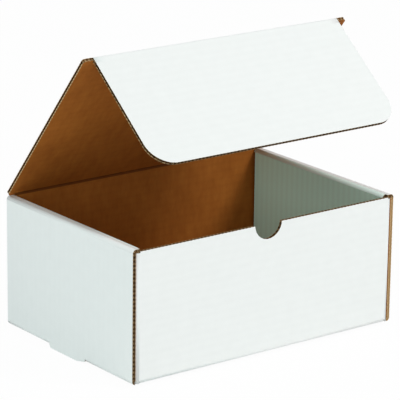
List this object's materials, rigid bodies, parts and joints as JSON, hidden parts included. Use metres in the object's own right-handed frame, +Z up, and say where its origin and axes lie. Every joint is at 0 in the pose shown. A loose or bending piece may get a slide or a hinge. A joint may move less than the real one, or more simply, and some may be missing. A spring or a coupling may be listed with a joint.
{
  "type": "corrugated mailer box",
  "caption": "Roll-end tuck-top corrugated mailer box with rolled double side walls, hinged lid, rounded tuck flap and thumb notch.",
  "frame": {"origin": "underside of the floor panel, under the middle of the box; the two foot lips reach 2.3 mm below it", "axes": "+X to the right along the front wall, +Y from the front wall to the back wall, +Z up"},
  "size_m": [0.246, 0.1798, 0.2319],
  "materials": {
    "board": "matte"
  },
  "bodies": {
    "tray": {"tray": "board"},
    "lid": {"lid_panel": "board"},
    "flap": {"tuck_flap": "board"}
  },
  "joints": [
    {"name": "lid_hinge", "type": "hinge", "parent": "tray", "child": "lid", "pos_m": [0, 0.08135, 0.10425], "axis": [-1, 0, 0], "range_deg": [-51, 129]},
    {"name": "tuck_hinge", "type": "hinge", "parent": "lid", "child": "flap", "pos_m": [0, -0.01909, 0.22828], "axis": [1, 0, 0], "range_deg": [-90, 45]}
  ]
}
